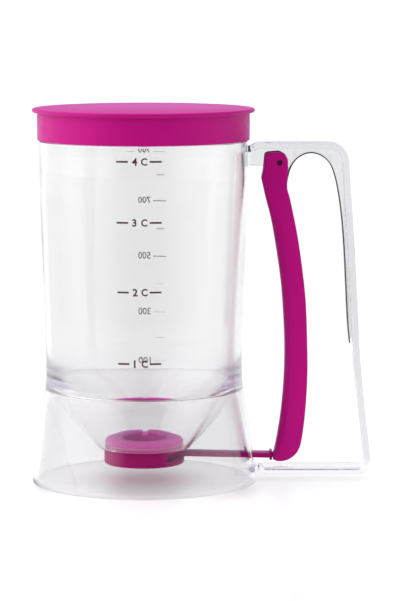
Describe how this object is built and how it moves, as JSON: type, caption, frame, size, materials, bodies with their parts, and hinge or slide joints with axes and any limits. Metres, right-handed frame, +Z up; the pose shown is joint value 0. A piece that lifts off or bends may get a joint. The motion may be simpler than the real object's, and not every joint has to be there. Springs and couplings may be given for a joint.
{
  "type": "batter dispenser",
  "caption": "Clear jug with a lift-off lid, a funnel floor and a sliding valve that a sprung trigger inside the handle pulls open.",
  "frame": {"origin": "on the jug's axis, at the plane of the table it stands on", "axes": "+Z up along the jug's axis, +X towards the handle, -Y towards the cup scale"},
  "size_m": [0.1681, 0.1116, 0.1848],
  "materials": {
    "clear_plastic": "clear, polished, faintly violet where thick",
    "magenta_plastic": "satin gloss, moulded",
    "white_silicone": "soft, matt",
    "pin_steel": "turned, dull",
    "spring_steel": "blued strip, satin"
  },
  "bodies": {
    "jug": {"container_wall": "clear_plastic", "hopper_bowl": "clear_plastic", "base_skirt": "clear_plastic", "handle_band": "clear_plastic", "handle_web": "clear_plastic", "valve_seat": "magenta_plastic", "neck_gasket": "white_silicone", "gate_seal": "white_silicone", "valve_housing": "magenta_plastic", "trigger_pin": "pin_steel", "return_spring": "spring_steel"},
    "lid": {"lid_cap": "magenta_plastic"},
    "trigger": {"trigger_lever": "magenta_plastic"},
    "gate": {"slide_gate": "magenta_plastic", "pull_rod": "magenta_plastic"}
  },
  "joints": [
    {"name": "lid_lift", "type": "slide", "parent": "jug", "child": "lid", "axis": [0, 0, 1], "range_m": [0, 0.05]},
    {"name": "trigger_pull", "type": "hinge", "parent": "jug", "child": "trigger", "pos_m": [0.0668, 0, 0.1583], "axis": [0, -1, 0], "range_deg": [0, 10.2], "stiffness_Nm_per_rad": 2, "springref_deg": -8.59, "deforming": ["return_spring"]},
    {"name": "gate_slide", "type": "slide", "parent": "jug", "child": "gate", "axis": [1, 0, 0], "range_m": [0, 0.025]}
  ],
  "couplings": [
    {"joint": "gate_slide", "follows": "trigger_pull", "m_per_rad": 0.1404}
  ]
}
